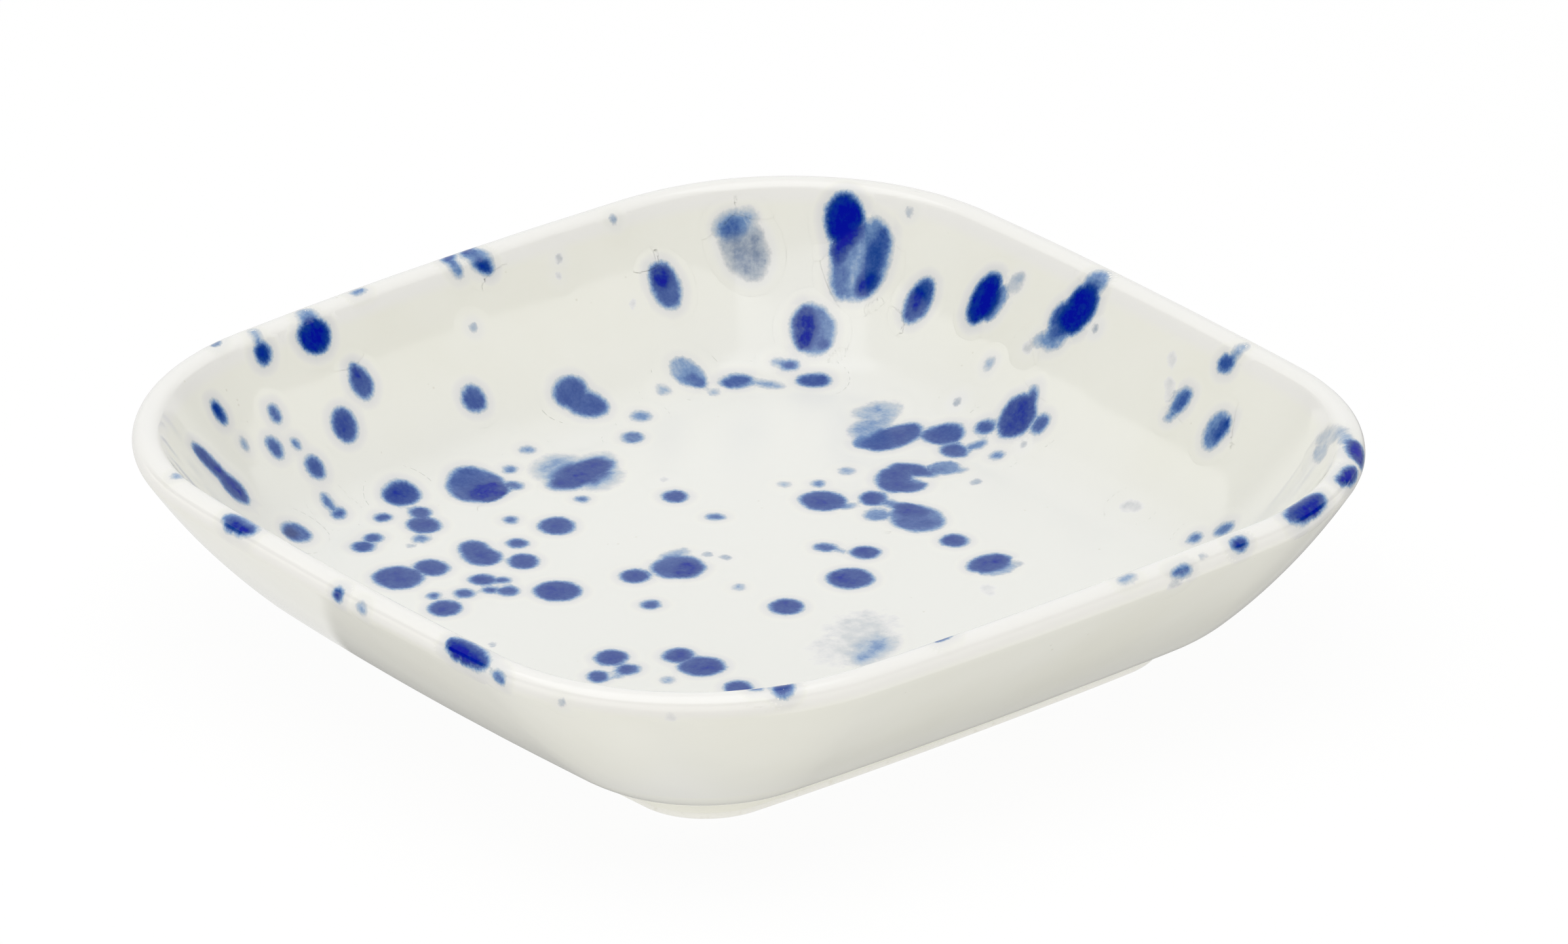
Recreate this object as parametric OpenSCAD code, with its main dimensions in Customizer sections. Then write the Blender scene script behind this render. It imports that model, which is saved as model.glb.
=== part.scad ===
// Square soy sauce dish with rounded corners: a clay body on a foot ring, under
// a white glaze that is spattered with drops of blue.
// Frame: +Z up, origin on the table under the middle of the dish, millimetres.

/* [Rim] */
// Width of the rim from side to side, over the glaze
rim_w = 95; // [80:1:130]
// Turn of each bowed side from its middle to its end, in degrees
side_turn = 3; // [1:0.5:8]
// Radius of the corners of the flat floor
floor_corner_r = 5; // [3:0.5:12]

/* [Section] */
// Height of the dish from the table to the top of the lip
dish_h = 21; // [17:0.5:28]
// Thickness of the wall and of its round lip, over the glaze
wall_t = 2.8; // [2:0.1:4]
// Slope of the wall just under the lip, in degrees from the level
wall_slope = 58; // [52:1:66]
// Radius of the wall's outward bow
bow_r = 65; // [50:1:120]
// Radius of the turn from the wall to the underside
turn_r = 15; // [8:0.5:20]
// Radius between the wall and the floor inside the well
well_r = 8; // [4:0.5:14]
// Thickness of the floor, over the glaze
floor_t = 4.5; // [3:0.1:6]

/* [Foot] */
// Height of the underside above the table
foot_h = 2; // [1.5:0.1:4]
// Width of the foot ring
foot_w = 3.5; // [2:0.1:5]
// How far the ring stands out past the flat of the underside
foot_out = 2.9; // [0:0.1:4]
// Radius of the ring's rounded standing edges
foot_edge_r = 0.6; // [0.2:0.1:0.9]

/* [Finish] */
// Thickness of the glaze
glaze_t = 0.3; // [0.15:0.05:0.6]
// Height of the bare clay that is left above the table
bare_h = 0.9; // [0.9:0.1:1.4]
// How far a drop of spatter stands above the glaze
drop_t = 0.06; // [0.03:0.01:0.15]

/* [Hidden] */

$fn = 96;
// Facets of a full turn on the long side arcs, in the section and on a small drop
side_fn = 960;
bow_fn = 360;
drop_fn = 48;
// Steps that each arc of the section is drawn in
bow_steps = 6;
turn_steps = 8;
well_steps = 8;
lip_steps = 12;
edge_steps = 4;
film_steps = 3;
// Direction at which the drops end on the lip, in degrees above its widest line
film_a = 10;

clay_colour = [0.80, 0.72, 0.62];
glaze_colour = [0.93, 0.93, 0.89];
cobalt_colour = [0.17, 0.25, 0.58];

// The section is drawn with the rim's edge at x = 0, inward to the left, and the table at y = 0
half_w = rim_w / 2;
floor_z = foot_h + floor_t;
// One length past a face for every cut
overrun = wall_t;

function along(from, angle, length) = from + length * [cos(angle), sin(angle)];
function angle_to(from, to) = atan2(to.y - from.y, to.x - from.x);
// Centre of an arc of radius r that touches the level low_z and lies inside the bow of radius bow
function touching(bow, r, low_z) =
    [bow_c.x + sqrt(pow(bow - r, 2) - pow(low_z + r - bow_c.y, 2)), low_z + r];

lip_r = wall_t / 2;
lip_c = [-lip_r, dish_h - lip_r];
// Direction of the wall's outward normal at the lip
lip_a = wall_slope - 90;
bow_c = along(lip_c, lip_a, lip_r - bow_r);
turn_c = touching(bow_r, turn_r, foot_h);
turn_a = angle_to(bow_c, turn_c);
well_c = touching(bow_r - wall_t, well_r, floor_z);
well_a = angle_to(bow_c, well_c);

// Distance from the rim's edge to where the floor and the underside are both flat
flat_run = max(-turn_c.x, -well_c.x);
corner_r = flat_run + floor_corner_r;
// The swept ring and the middle plate lap on the flat, at these shares of the floor's corner radius
plate_share = 0.35;
ring_share = 0.8;
plate_run = flat_run + plate_share * floor_corner_r;
ring_run = flat_run + ring_share * floor_corner_r;

// Side arcs that run smoothly into the corner arcs
side_k = cos(side_turn) - sin(side_turn);
side_r = (half_w - corner_r * side_k) / (1 - side_k);
corner_c = (side_r - corner_r) * sin(side_turn);
// Where a side runs into a corner, and how far each sweep runs past its eighth of the rim, in degrees
joint = along([corner_c, corner_c], side_turn, corner_r);
sweep_over = 1;

foot_x = turn_c.x + foot_out;
foot_in_x = foot_x - foot_w;
mid_floor_z = foot_h + floor_t / 2;

// Spatter drops: shares of half the rim's width for the place in x and y, half the length and
// half the breadth, then the turn in degrees
floor_drop_shares = [
    // back of the floor
    [-0.29, 0.58, 0.075, 0.05, 20], [-0.38, 0.63, 0.05, 0.04, 20], [-0.21, 0.66, 0.05, 0.035, 20],
    [-0.15, 0.63, 0.035, 0.025, 30], [-0.13, 0.67, 0.02, 0.02, 0], [-0.61, 0.2, 0.02, 0.016, 150],
    [-0.12, 0.48, 0.06, 0.05, 100], [-0.1, 0.56, 0.035, 0.02, 60], [-0.21, 0.42, 0.015, 0.013, 150],
    [0.03, 0.39, 0.065, 0.055, 120], [-0.03, 0.35, 0.03, 0.025, 0], [-0.09, 0.38, 0.033, 0.028, 120],
    [-0.15, 0.31, 0.05, 0.045, 120], [-0.21, 0.34, 0.013, 0.011, 150], [0.16, 0.39, 0.027, 0.025, 150],
    [0.28, 0.37, 0.047, 0.041, 105],
    // middle
    [-0.34, 0.1, 0.027, 0.024, 170], [-0.22, 0.1, 0.014, 0.013, 70], [0.02, 0.18, 0.025, 0.018, 15],
    [0.09, 0.23, 0.028, 0.027, 120], [0.16, 0.13, 0.045, 0.043, 115], [0.18, -0.04, 0.035, 0.031, 160],
    [-0.1, -0.08, 0.062, 0.047, 90], [-0.12, -0.18, 0.03, 0.026, 80], [-0.09, -0.01, 0.012, 0.008, 60],
    [-0.06, 0.01, 0.01, 0.008, 60], [0, -0.23, 0.018, 0.018, 0], [0.42, -0.03, 0.05, 0.02, 105],
    // left of the floor
    [-0.54, 0.02, 0.08, 0.07, 90], [-0.62, -0.16, 0.068, 0.065, 0], [-0.45, -0.05, 0.012, 0.01, 150],
    [-0.47, -0.2, 0.015, 0.012, 145], [-0.39, -0.15, 0.038, 0.034, 160], [-0.38, -0.26, 0.022, 0.018, 165],
    [-0.61, -0.32, 0.03, 0.022, 145], [-0.56, -0.34, 0.042, 0.032, 145], [-0.51, -0.39, 0.02, 0.014, 150],
    [-0.56, -0.49, 0.025, 0.02, 115], [-0.58, -0.45, 0.018, 0.016, 115], [-0.39, -0.34, 0.055, 0.04, 165],
    [-0.31, -0.3, 0.033, 0.029, 155], [-0.4, -0.52, 0.055, 0.043, 90], [-0.4, -0.45, 0.036, 0.03, 90],
    [-0.29, -0.39, 0.04, 0.014, 20], [-0.22, -0.4, 0.02, 0.018, 0], [-0.25, -0.42, 0.017, 0.012, 0],
    [-0.28, -0.47, 0.018, 0.016, 10], [-0.3, -0.52, 0.013, 0.011, 150], [-0.25, -0.54, 0.035, 0.033, 120],
    // front of the floor
    [-0.16, -0.33, 0.046, 0.043, 25], [0.13, -0.43, 0.038, 0.03, 170], [0.19, -0.44, 0.024, 0.02, 170],
    [0.17, -0.49, 0.024, 0.022, 170], [0.2, -0.33, 0.038, 0.032, 5], [0.27, -0.32, 0.047, 0.04, 5],
    [0.27, -0.4, 0.01, 0.008, 115], [0.39, -0.32, 0.034, 0.028, 60], [0.44, -0.25, 0.032, 0.028, 60]
];
wall_drop_shares = [
    // foot of the wall
    [-0.16, 0.72, 0.022, 0.017, 20], [-0.64, 0.61, 0.026, 0.013, 35], [-0.71, 0.42, 0.036, 0.03, 55],
    [-0.57, 0.62, 0.034, 0.025, 35], [-0.65, 0.51, 0.058, 0.02, 45], [-0.74, 0.18, 0.054, 0.038, 65],
    [-0.66, 0.27, 0.02, 0.017, 100], [-0.68, 0, 0.012, 0.01, 100], [-0.07, 0.68, 0.012, 0.009, 170],
    [-0.68, -0.3, 0.041, 0.034, 95], [-0.7, -0.46, 0.032, 0.014, 0], [-0.63, -0.39, 0.017, 0.016, 150],
    [-0.66, -0.58, 0.031, 0.025, 80], [0.49, 0.71, 0.014, 0.01, 10], [0.56, 0.73, 0.02, 0.012, 10],
    [-0.1, 0.76, 0.05, 0.036, 30], [-0.04, 0.76, 0.02, 0.016, 90], [-0.64, 0.68, 0.047, 0.04, 50],
    // back walls
    [-0.82, 0.64, 0.048, 0.034, 142], [-0.71, 0.82, 0.042, 0.036, 130], [-0.64, 0.8, 0.065, 0.05, 125],
    [-0.84, 0.47, 0.032, 0.03, 125], [-0.33, 0.87, 0.045, 0.033, 20], [-0.49, 0.82, 0.033, 0.031, 55],
    [-0.11, 0.9, 0.055, 0.04, 50], [0.26, 0.86, 0.024, 0.015, 35], [0.38, 0.85, 0.027, 0.023, 140],
    [-0.24, 0.8, 0.009, 0.006, 20], [-0.92, 0.27, 0.01, 0.007, 100], [-0.83, 0.39, 0.01, 0.007, 120],
    // left wall
    [-0.85, -0.27, 0.025, 0.021, 80], [-0.79, -0.05, 0.024, 0.019, 90], [-0.85, -0.61, 0.018, 0.015, 125],
    [-0.85, -0.48, 0.013, 0.011, 60], [-0.81, -0.34, 0.027, 0.023, 105], [-0.81, -0.58, 0.01, 0.007, 120],
    [-0.81, -0.47, 0.009, 0.007, 100], [-0.81, -0.52, 0.017, 0.016, 95], [-0.77, -0.44, 0.019, 0.017, 70],
    [-0.73, -0.69, 0.055, 0.022, 45],
    // front walls, which the camera doesn't see
    [0.79, 0.05, 0.025, 0.02, 85], [0.86, 0.26, 0.025, 0.022, 80], [0.81, 0.5, 0.018, 0.017, 95],
    [0.75, 0.36, 0.02, 0.018, 70], [0.74, -0.2, 0.05, 0.036, 60], [0.84, -0.46, 0.032, 0.03, 125],
    [0.8, -0.31, 0.012, 0.01, 120], [0.32, -0.87, 0.048, 0.034, 20], [0.5, -0.81, 0.035, 0.03, 55],
    [-0.26, -0.86, 0.025, 0.016, 35], [-0.4, -0.85, 0.028, 0.024, 140], [0.08, -0.76, 0.05, 0.037, 30],
    [-0.08, -0.8, 0.014, 0.011, 60], [-0.55, -0.76, 0.03, 0.022, 20]
];
rim_drop_shares = [
    // back sides
    [-0.95, 0.1, 0.03, 0.02, 65], [-0.96, 0.04, 0.02, 0.016, 0], [-0.96, -0.2, 0.02, 0.012, 95],
    [-0.93, -0.32, 0.042, 0.03, 90], [-0.93, -0.45, 0.025, 0.017, 165], [-0.94, 0.42, 0.013, 0.009, 100],
    [-0.08, 0.96, 0.03, 0.025, 60], [0.33, 0.94, 0.023, 0.015, 20], [-0.6, 0.9, 0.011, 0.008, 120],
    // right corner
    [0.8, 0.84, 0.06, 0.022, 137], [0.88, 0.75, 0.035, 0.02, 122], [0.95, 0.6, 0.057, 0.03, 105],
    [0.98, 0.41, 0.021, 0.014, 90], [0.98, 0.26, 0.021, 0.012, 90],
    // front left side
    [-0.28, -0.97, 0.04, 0.024, 0], [0.05, -0.98, 0.017, 0.012, 0], [0.12, -0.98, 0.013, 0.01, 0],
    [0.41, -0.97, 0.055, 0.028, 170], [0.52, -0.97, 0.015, 0.01, 5]
];

function arc(centre, r, from_a, to_a, steps) =
    [for (i = [0:steps]) along(centre, from_a + (to_a - from_a) * i / steps, r)];
// Distance from an arc's centre to the middles of its steps
function step_r(r, from_a, to_a, steps) = r * cos((to_a - from_a) / steps / 2);

// Paths along the section, drawn in by inset from the finished surface: the underside and the outer
// wall up to the lip, then the lip and the well down to the floor
function outer_path(inset) = concat(
    [[-ring_run, foot_h + inset]],
    arc(turn_c, turn_r - inset, -90, turn_a, turn_steps),
    arc(bow_c, bow_r - inset, turn_a, lip_a, bow_steps));
function inner_path(inset) = concat(
    arc(lip_c, lip_r - inset, lip_a, lip_a + 180, lip_steps),
    arc(bow_c, bow_r - wall_t + inset, lip_a, well_a, bow_steps),
    arc(well_c, well_r + inset, well_a, -90, well_steps),
    [[-ring_run, floor_z - inset]]);

// Section of floor, wall and lip, drawn in by inset
module section(inset) {
    polygon(concat(outer_path(inset), inner_path(inset)));
}

// Section of the foot ring, with round standing edges and its outer face under the glaze
module foot_bar() {
    out_x = foot_x - glaze_t;
    polygon(concat(
        [[foot_in_x, mid_floor_z]],
        arc([foot_in_x + foot_edge_r, foot_edge_r], foot_edge_r, 180, 270, edge_steps),
        arc([out_x - foot_edge_r, foot_edge_r], foot_edge_r, 270, 360, edge_steps),
        [[out_x, mid_floor_z]]));
}

// Section of the coat over the well, the lip, the outside and the foot's outer face
module coat_section() {
    difference() {
        union() {
            intersection() {
                section(0);
                union() {
                    translate([foot_x - glaze_t, foot_h]) square([-foot_x + glaze_t, dish_h]);
                    translate([-ring_run, mid_floor_z]) square([ring_run, dish_h]);
                }
            }
            translate([foot_x - glaze_t, bare_h]) square([glaze_t, mid_floor_z - bare_h]);
        }
        section(glaze_t);
    }
}

// Section of the glaze on the underside, inside the foot ring
module base_section() {
    difference() {
        intersection() {
            section(0);
            translate([-ring_run, foot_h]) square([ring_run + foot_in_x, floor_t / 2]);
        }
        section(glaze_t);
    }
}

// Section of the film that the drops are cut from, along one arc of the section
module film_slice(centre, r, from_a, to_a) {
    reach = 2 * r;
    intersection() {
        difference() {
            translate(centre) circle(r + drop_t, $fn = bow_fn);
            translate(centre) circle(r, $fn = bow_fn);
        }
        polygon(concat([centre], arc(centre, reach, from_a, to_a, film_steps)));
    }
}

// Sweeps a section round the rim: an eighth from the middle of a side to the middle of a corner,
// then its mirror images
module around_rim() {
    for (quarter = [0:90:270]) rotate([0, 0, quarter]) {
        rim_eighth() children();
        mirror([1, -1, 0]) rim_eighth() children();
    }
}

module rim_eighth() {
    intersection() {
        translate([0, 0, -overrun]) linear_extrude(dish_h + 2 * overrun)
            polygon([[0, 0], [rim_w, 0], [rim_w, rim_w]]);
        translate([joint.x, joint.y, 0]) rotate([0, 0, side_turn]) {
            translate([-corner_r, 0, 0]) rotate_extrude(angle = 45 - side_turn + sweep_over)
                translate([corner_r, 0]) children();
            translate([-side_r, 0, 0]) mirror([0, 1, 0])
                rotate_extrude(angle = side_turn + sweep_over, $fn = side_fn)
                    translate([side_r, 0]) children();
        }
    }
}

// Flat plate in the middle of the floor, between two levels
module middle_plate(low_z, high_z) {
    translate([0, 0, low_z]) linear_extrude(high_z - low_z)
        intersection_for(quarter = [0:90:270])
            rotate(quarter) translate([half_w - side_r, 0]) circle(side_r - plate_run, $fn = side_fn);
}

// Upright prism over one drop of a table
module drop_prism(drop) {
    translate([drop[0] * half_w, drop[1] * half_w, 0]) rotate([0, 0, drop[4]])
        linear_extrude(dish_h + overrun)
            scale([drop[2] * half_w, drop[3] * half_w]) circle(1, $fn = drop_fn);
}

// Drops of a table, as patches of the film that is given
module spatter(drops) {
    color(cobalt_colour) intersection() {
        union() children();
        union() for (drop = drops) drop_prism(drop);
    }
}

module clay_body() {
    color(clay_colour) {
        around_rim() section(glaze_t);
        middle_plate(foot_h + glaze_t, floor_z - glaze_t);
    }
}

module foot_ring() {
    color(clay_colour) around_rim() difference() {
        foot_bar();
        section(glaze_t);
    }
}

module glaze_coat() {
    color(glaze_colour) {
        around_rim() coat_section();
        middle_plate(floor_z - glaze_t, floor_z);
    }
}

module base_glaze() {
    color(glaze_colour) {
        around_rim() base_section();
        middle_plate(foot_h, foot_h + glaze_t);
    }
}

// A drop that runs over an edge of its own film goes on in the next
module floor_spatter() {
    spatter(concat(floor_drop_shares, wall_drop_shares)) {
        around_rim() translate([-ring_run, floor_z]) square([ring_run + well_c.x, drop_t]);
        middle_plate(floor_z, floor_z + drop_t);
    }
}

module wall_spatter() {
    spatter(concat(floor_drop_shares, wall_drop_shares, rim_drop_shares)) {
        around_rim() film_slice(well_c, step_r(well_r, -90, well_a, well_steps) - drop_t, -90, well_a);
        around_rim()
            film_slice(bow_c, step_r(bow_r - wall_t, well_a, lip_a, bow_steps) - drop_t, well_a, lip_a);
    }
}

module rim_spatter() {
    spatter(concat(wall_drop_shares, rim_drop_shares))
        around_rim() film_slice(lip_c, lip_r, film_a, lip_a + 180);
}

clay_body();
foot_ring();
glaze_coat();
base_glaze();
floor_spatter();
wall_spatter();
rim_spatter();
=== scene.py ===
import math

import bmesh
import bpy
import numpy as np
from mathutils import Matrix, Vector


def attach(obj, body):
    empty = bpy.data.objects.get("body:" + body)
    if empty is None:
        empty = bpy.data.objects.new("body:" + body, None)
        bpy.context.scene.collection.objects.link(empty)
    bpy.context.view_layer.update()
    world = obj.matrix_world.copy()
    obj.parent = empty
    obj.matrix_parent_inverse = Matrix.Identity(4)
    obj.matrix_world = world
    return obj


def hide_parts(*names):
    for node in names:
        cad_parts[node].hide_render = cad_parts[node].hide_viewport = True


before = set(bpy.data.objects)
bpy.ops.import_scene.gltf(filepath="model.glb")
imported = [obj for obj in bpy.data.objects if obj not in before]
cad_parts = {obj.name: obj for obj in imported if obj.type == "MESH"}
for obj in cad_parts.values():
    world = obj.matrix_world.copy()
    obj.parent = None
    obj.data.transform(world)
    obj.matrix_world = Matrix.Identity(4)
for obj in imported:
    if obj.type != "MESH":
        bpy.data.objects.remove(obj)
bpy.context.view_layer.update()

mm = 0.001
scene = bpy.context.scene
print("frame loaded:", sorted(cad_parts))


# small helpers that every node tree below is wired with
def plug(tree, socket, value):
    if isinstance(value, bpy.types.NodeSocket):
        tree.links.new(value, socket)
    elif value is not None:
        socket.default_value = value


def add(tree, kind, values=(), **settings):
    node = tree.nodes.new(kind)
    for name, value in settings.items():
        setattr(node, name, value)
    for name, value in dict(values).items():
        plug(tree, node.inputs[name], value)
    return node


def calc(tree, operation, *values, clamp=False):
    node = add(tree, "ShaderNodeMath", operation=operation, use_clamp=clamp)
    for socket, value in zip(node.inputs, values):
        plug(tree, socket, value)
    return node.outputs[0]


def vec(tree, operation, *values, scale=None):
    node = add(tree, "ShaderNodeVectorMath", operation=operation)
    for socket, value in zip(node.inputs, values):
        plug(tree, socket, value)
    if scale is not None:
        plug(tree, node.inputs["Scale"], scale)
    return node.outputs["Value"] if operation in ("LENGTH", "DOT_PRODUCT") else node.outputs["Vector"]


def xyz(tree, x, y, z):
    return add(tree, "ShaderNodeCombineXYZ", {"X": x, "Y": y, "Z": z}).outputs[0]


def band(tree, value, low, high, newLow=0.0, newHigh=1.0):
    node = add(tree, "ShaderNodeMapRange", {"Value": value, "From Min": low, "From Max": high,
                                            "To Min": newLow, "To Max": newHigh},
               interpolation_type="SMOOTHSTEP")
    return node.outputs[0]


# a vector that wanders, by up to half the amount to each side
def wander(tree, place, scale, detail, seed, amount):
    drift = add(tree, "ShaderNodeTexNoise", {"Vector": place, "Scale": scale, "Detail": detail, "W": seed},
                noise_dimensions="4D").outputs["Color"]
    return vec(tree, "SCALE", vec(tree, "SUBTRACT", drift, (0.5, 0.5, 0.5)), scale=amount)


def newTree(name, inputs):
    tree = bpy.data.node_groups.new(name, "GeometryNodeTree")
    tree.interface.new_socket("Geometry", in_out="INPUT", socket_type="NodeSocketGeometry")
    for kind, labels in inputs.items():
        for label in labels:
            tree.interface.new_socket(label, in_out="INPUT", socket_type="NodeSocket" + kind)
    tree.interface.new_socket("Geometry", in_out="OUTPUT", socket_type="NodeSocketGeometry")
    given = tree.nodes.new("NodeGroupInput").outputs
    return tree, {socket.name: socket for socket in given if socket.name}


def endTree(tree, geometry, material):
    real = add(tree, "GeometryNodeRealizeInstances", {"Geometry": geometry}).outputs[0]
    smooth = add(tree, "GeometryNodeSetShadeSmooth", {"Geometry": real}).outputs[0]
    done = add(tree, "GeometryNodeSetMaterial", {"Geometry": smooth, "Material": material}).outputs[0]
    tree.links.new(done, tree.nodes.new("NodeGroupOutput").inputs[0])


def newObject(name, data):
    thing = bpy.data.objects.new(name, data)
    scene.collection.objects.link(thing)
    return thing


# runs a tree on a start mesh and keeps the result as a plain mesh
def bake(name, start, tree, values):
    maker = newObject(name + "Maker", start)
    modifier = maker.modifiers.new("maker", "NODES")
    modifier.node_group = tree
    for item in tree.interface.items_tree:
        if item.in_out == "INPUT" and item.name in values:
            modifier[item.identifier] = values[item.name]
    graph = bpy.context.evaluated_depsgraph_get()
    ready = maker.evaluated_get(graph)
    mesh = bpy.data.meshes.new_from_object(ready, preserve_all_data_layers=True, depsgraph=graph)
    maker.modifiers.remove(modifier)
    bpy.data.objects.remove(maker)
    mesh.name = name
    shell = bmesh.new()
    shell.from_mesh(mesh)
    bmesh.ops.recalc_face_normals(shell, faces=shell.faces)
    gaps = sum(1 for edge in shell.edges if len(edge.link_faces) != 2)
    shell.to_mesh(mesh)
    shell.free()
    piece = newObject(name, mesh)
    print("made", name, len(mesh.polygons), "faces, open edges", gaps)
    return piece


def emptyTree(owner):
    owner.use_nodes = True
    owner.node_tree.nodes.clear()
    return owner.node_tree


def finishPiece(piece, slot, *nodes):
    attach(piece, "root")
    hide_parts(*nodes)


def newMaterial(name):
    material = bpy.data.materials.new(name)
    tree = emptyTree(material)
    shader = tree.nodes.new("ShaderNodeBsdfPrincipled")
    tree.links.new(shader.outputs[0], tree.nodes.new("ShaderNodeOutputMaterial").inputs[0])
    place = tree.nodes.new("ShaderNodeTexCoord").outputs["Object"]
    return material, tree, shader, place


def noise(tree, place, scale, detail, rough=0.5):
    return add(tree, "ShaderNodeTexNoise", {"Vector": place, "Scale": scale, "Detail": detail,
                                            "Roughness": rough}).outputs["Fac"]


def ramp(tree, value, stops):
    node = add(tree, "ShaderNodeValToRGB", {"Fac": value})
    line = node.color_ramp.elements
    while len(line) < len(stops):
        line.new(0.5)
    for mark, (at, colour) in zip(line, stops):
        mark.position = at
        mark.color = (*colour, 1)
    return node.outputs["Color"]


def blend(tree, share, first, second):
    node = add(tree, "ShaderNodeMix", data_type="RGBA")
    plug(tree, node.inputs["Factor"], share)
    for socket, value in zip((node.inputs[6], node.inputs[7]), (first, second)):
        plug(tree, socket, (*value, 1) if isinstance(value, tuple) else value)
    return node.outputs[2]


def mixShaders(tree, share, first, second):
    node = add(tree, "ShaderNodeMixShader")
    for socket, value in zip(node.inputs, (share, first, second)):
        plug(tree, socket, value)
    return node.outputs[0]


def roughen(tree, shader, height, distance):
    bump = add(tree, "ShaderNodeBump", {"Height": height, "Distance": distance, "Strength": 1.0})
    plug(tree, shader.inputs["Normal"], bump.outputs[0])


# glaze: warm white and glossy, a little uneven, and rougher on the inner floor; there painted shade makes it a
# little darker and less yellow, and a painted highlight makes the lip a cooler white
glazeLook = {
    "white": (0.815, 0.812, 0.752),
    "cream": (0.790, 0.785, 0.710),
    "floorShadeTint": (0.780, 0.780, 0.750),
    # painted highlight: a cooler white along the lip
    "lip": (0.805, 0.797, 0.777),
    "speck": (0.62, 0.60, 0.52),
    "ior": 1.5,
    "roughness": (0.012, 0.030),
    "innerFloorRoughness": 0.20,
    "cloud": (55.0, 3.0),  # noises: times per metre, then detail
    "creamSpan": (0.35, 0.75),
    "glossSpan": (0.3, 0.7),
    "peel": (420.0, 1.0),
    "peelHeight": 0.006 * mm,
    "speckScale": 900.0,
    "speckSpread": 0.4,  # scale of what leaves most specks out, as a share of the specks' own
    "speckRare": 0.74,
    "speckSize": (0.16, 0.05),
    "speckDepth": 0.5,
    "innerFloorReach": (41.0 * mm, 30.0 * mm),
    "innerFloorHeight": (6.0 * mm, 6.4 * mm),
    "floorShadeShare": 0.85,
    "lipHeight": (18.8 * mm, 19.9 * mm),
    "lipSheenShare": 0.9,
}


def glazeSkin(tree, shader, place):
    look = glazeLook
    m = lambda *values: calc(tree, *values)
    cloud = noise(tree, place, *look["cloud"])
    white = blend(tree, band(tree, cloud, *look["creamSpan"]), look["white"], look["cream"])
    sides = add(tree, "ShaderNodeSeparateXYZ", {"Vector": place}).outputs
    reach = m("MAXIMUM", m("ABSOLUTE", sides["X"]), m("ABSOLUTE", sides["Y"]))
    # painted shade: the inner floor is painted a little darker and less yellow than the walls
    innerFloor = m("MULTIPLY", band(tree, reach, *look["innerFloorReach"]), band(tree, sides["Z"], *look["innerFloorHeight"]))
    white = blend(tree, m("MULTIPLY", innerFloor, look["floorShadeShare"]), white, look["floorShadeTint"])
    # painted highlight: the lip is painted a cooler white, standing in for the sheen along the rim
    lipSheenMask = band(tree, sides["Z"], *look["lipHeight"], 0.0, look["lipSheenShare"])
    white = blend(tree, lipSheenMask, white, look["lip"])
    dots = add(tree, "ShaderNodeTexVoronoi", {"Vector": place, "Scale": look["speckScale"]})
    spread = noise(tree, place, look["speckScale"] * look["speckSpread"], 0.0)
    speck = m("MULTIPLY", band(tree, dots.outputs["Distance"], *look["speckSize"]),
              m("GREATER_THAN", spread, look["speckRare"]))
    white = blend(tree, m("MULTIPLY", speck, look["speckDepth"]), white, look["speck"])
    gloss = band(tree, cloud, *look["glossSpan"], *look["roughness"])
    gloss = m("MULTIPLY_ADD", innerFloor, look["innerFloorRoughness"], gloss)
    plug(tree, shader.inputs["Roughness"], gloss)
    shader.inputs["IOR"].default_value = look["ior"]
    roughen(tree, shader, noise(tree, place, *look["peel"]), look["peelHeight"])
    return white


glaze, tree, shader, place = newMaterial("whiteGlaze")
plug(tree, shader.inputs["Base Color"], glazeSkin(tree, shader, place))

# bare clay of the body and the standing ring
clayLook = {
    "pale": (0.82, 0.815, 0.775),
    "grit": (0.76, 0.75, 0.70),
    "grain": (1400.0, 4.0, 0.65),  # noise: times per metre, detail, roughness
    "grainHeight": 0.008 * mm,
    "gritSpan": (0.52, 0.72),
    "roughSpan": (0.3, 0.7),
    "roughness": (0.65, 0.85),
}
clay, tree, shader, place = newMaterial("firedClay")
grain = noise(tree, place, *clayLook["grain"])
plug(tree, shader.inputs["Base Color"],
     blend(tree, band(tree, grain, *clayLook["gritSpan"]), clayLook["pale"], clayLook["grit"]))
plug(tree, shader.inputs["Roughness"],
     band(tree, grain, *clayLook["roughSpan"], *clayLook["roughness"]))
roughen(tree, shader, grain, clayLook["grainHeight"])

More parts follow.
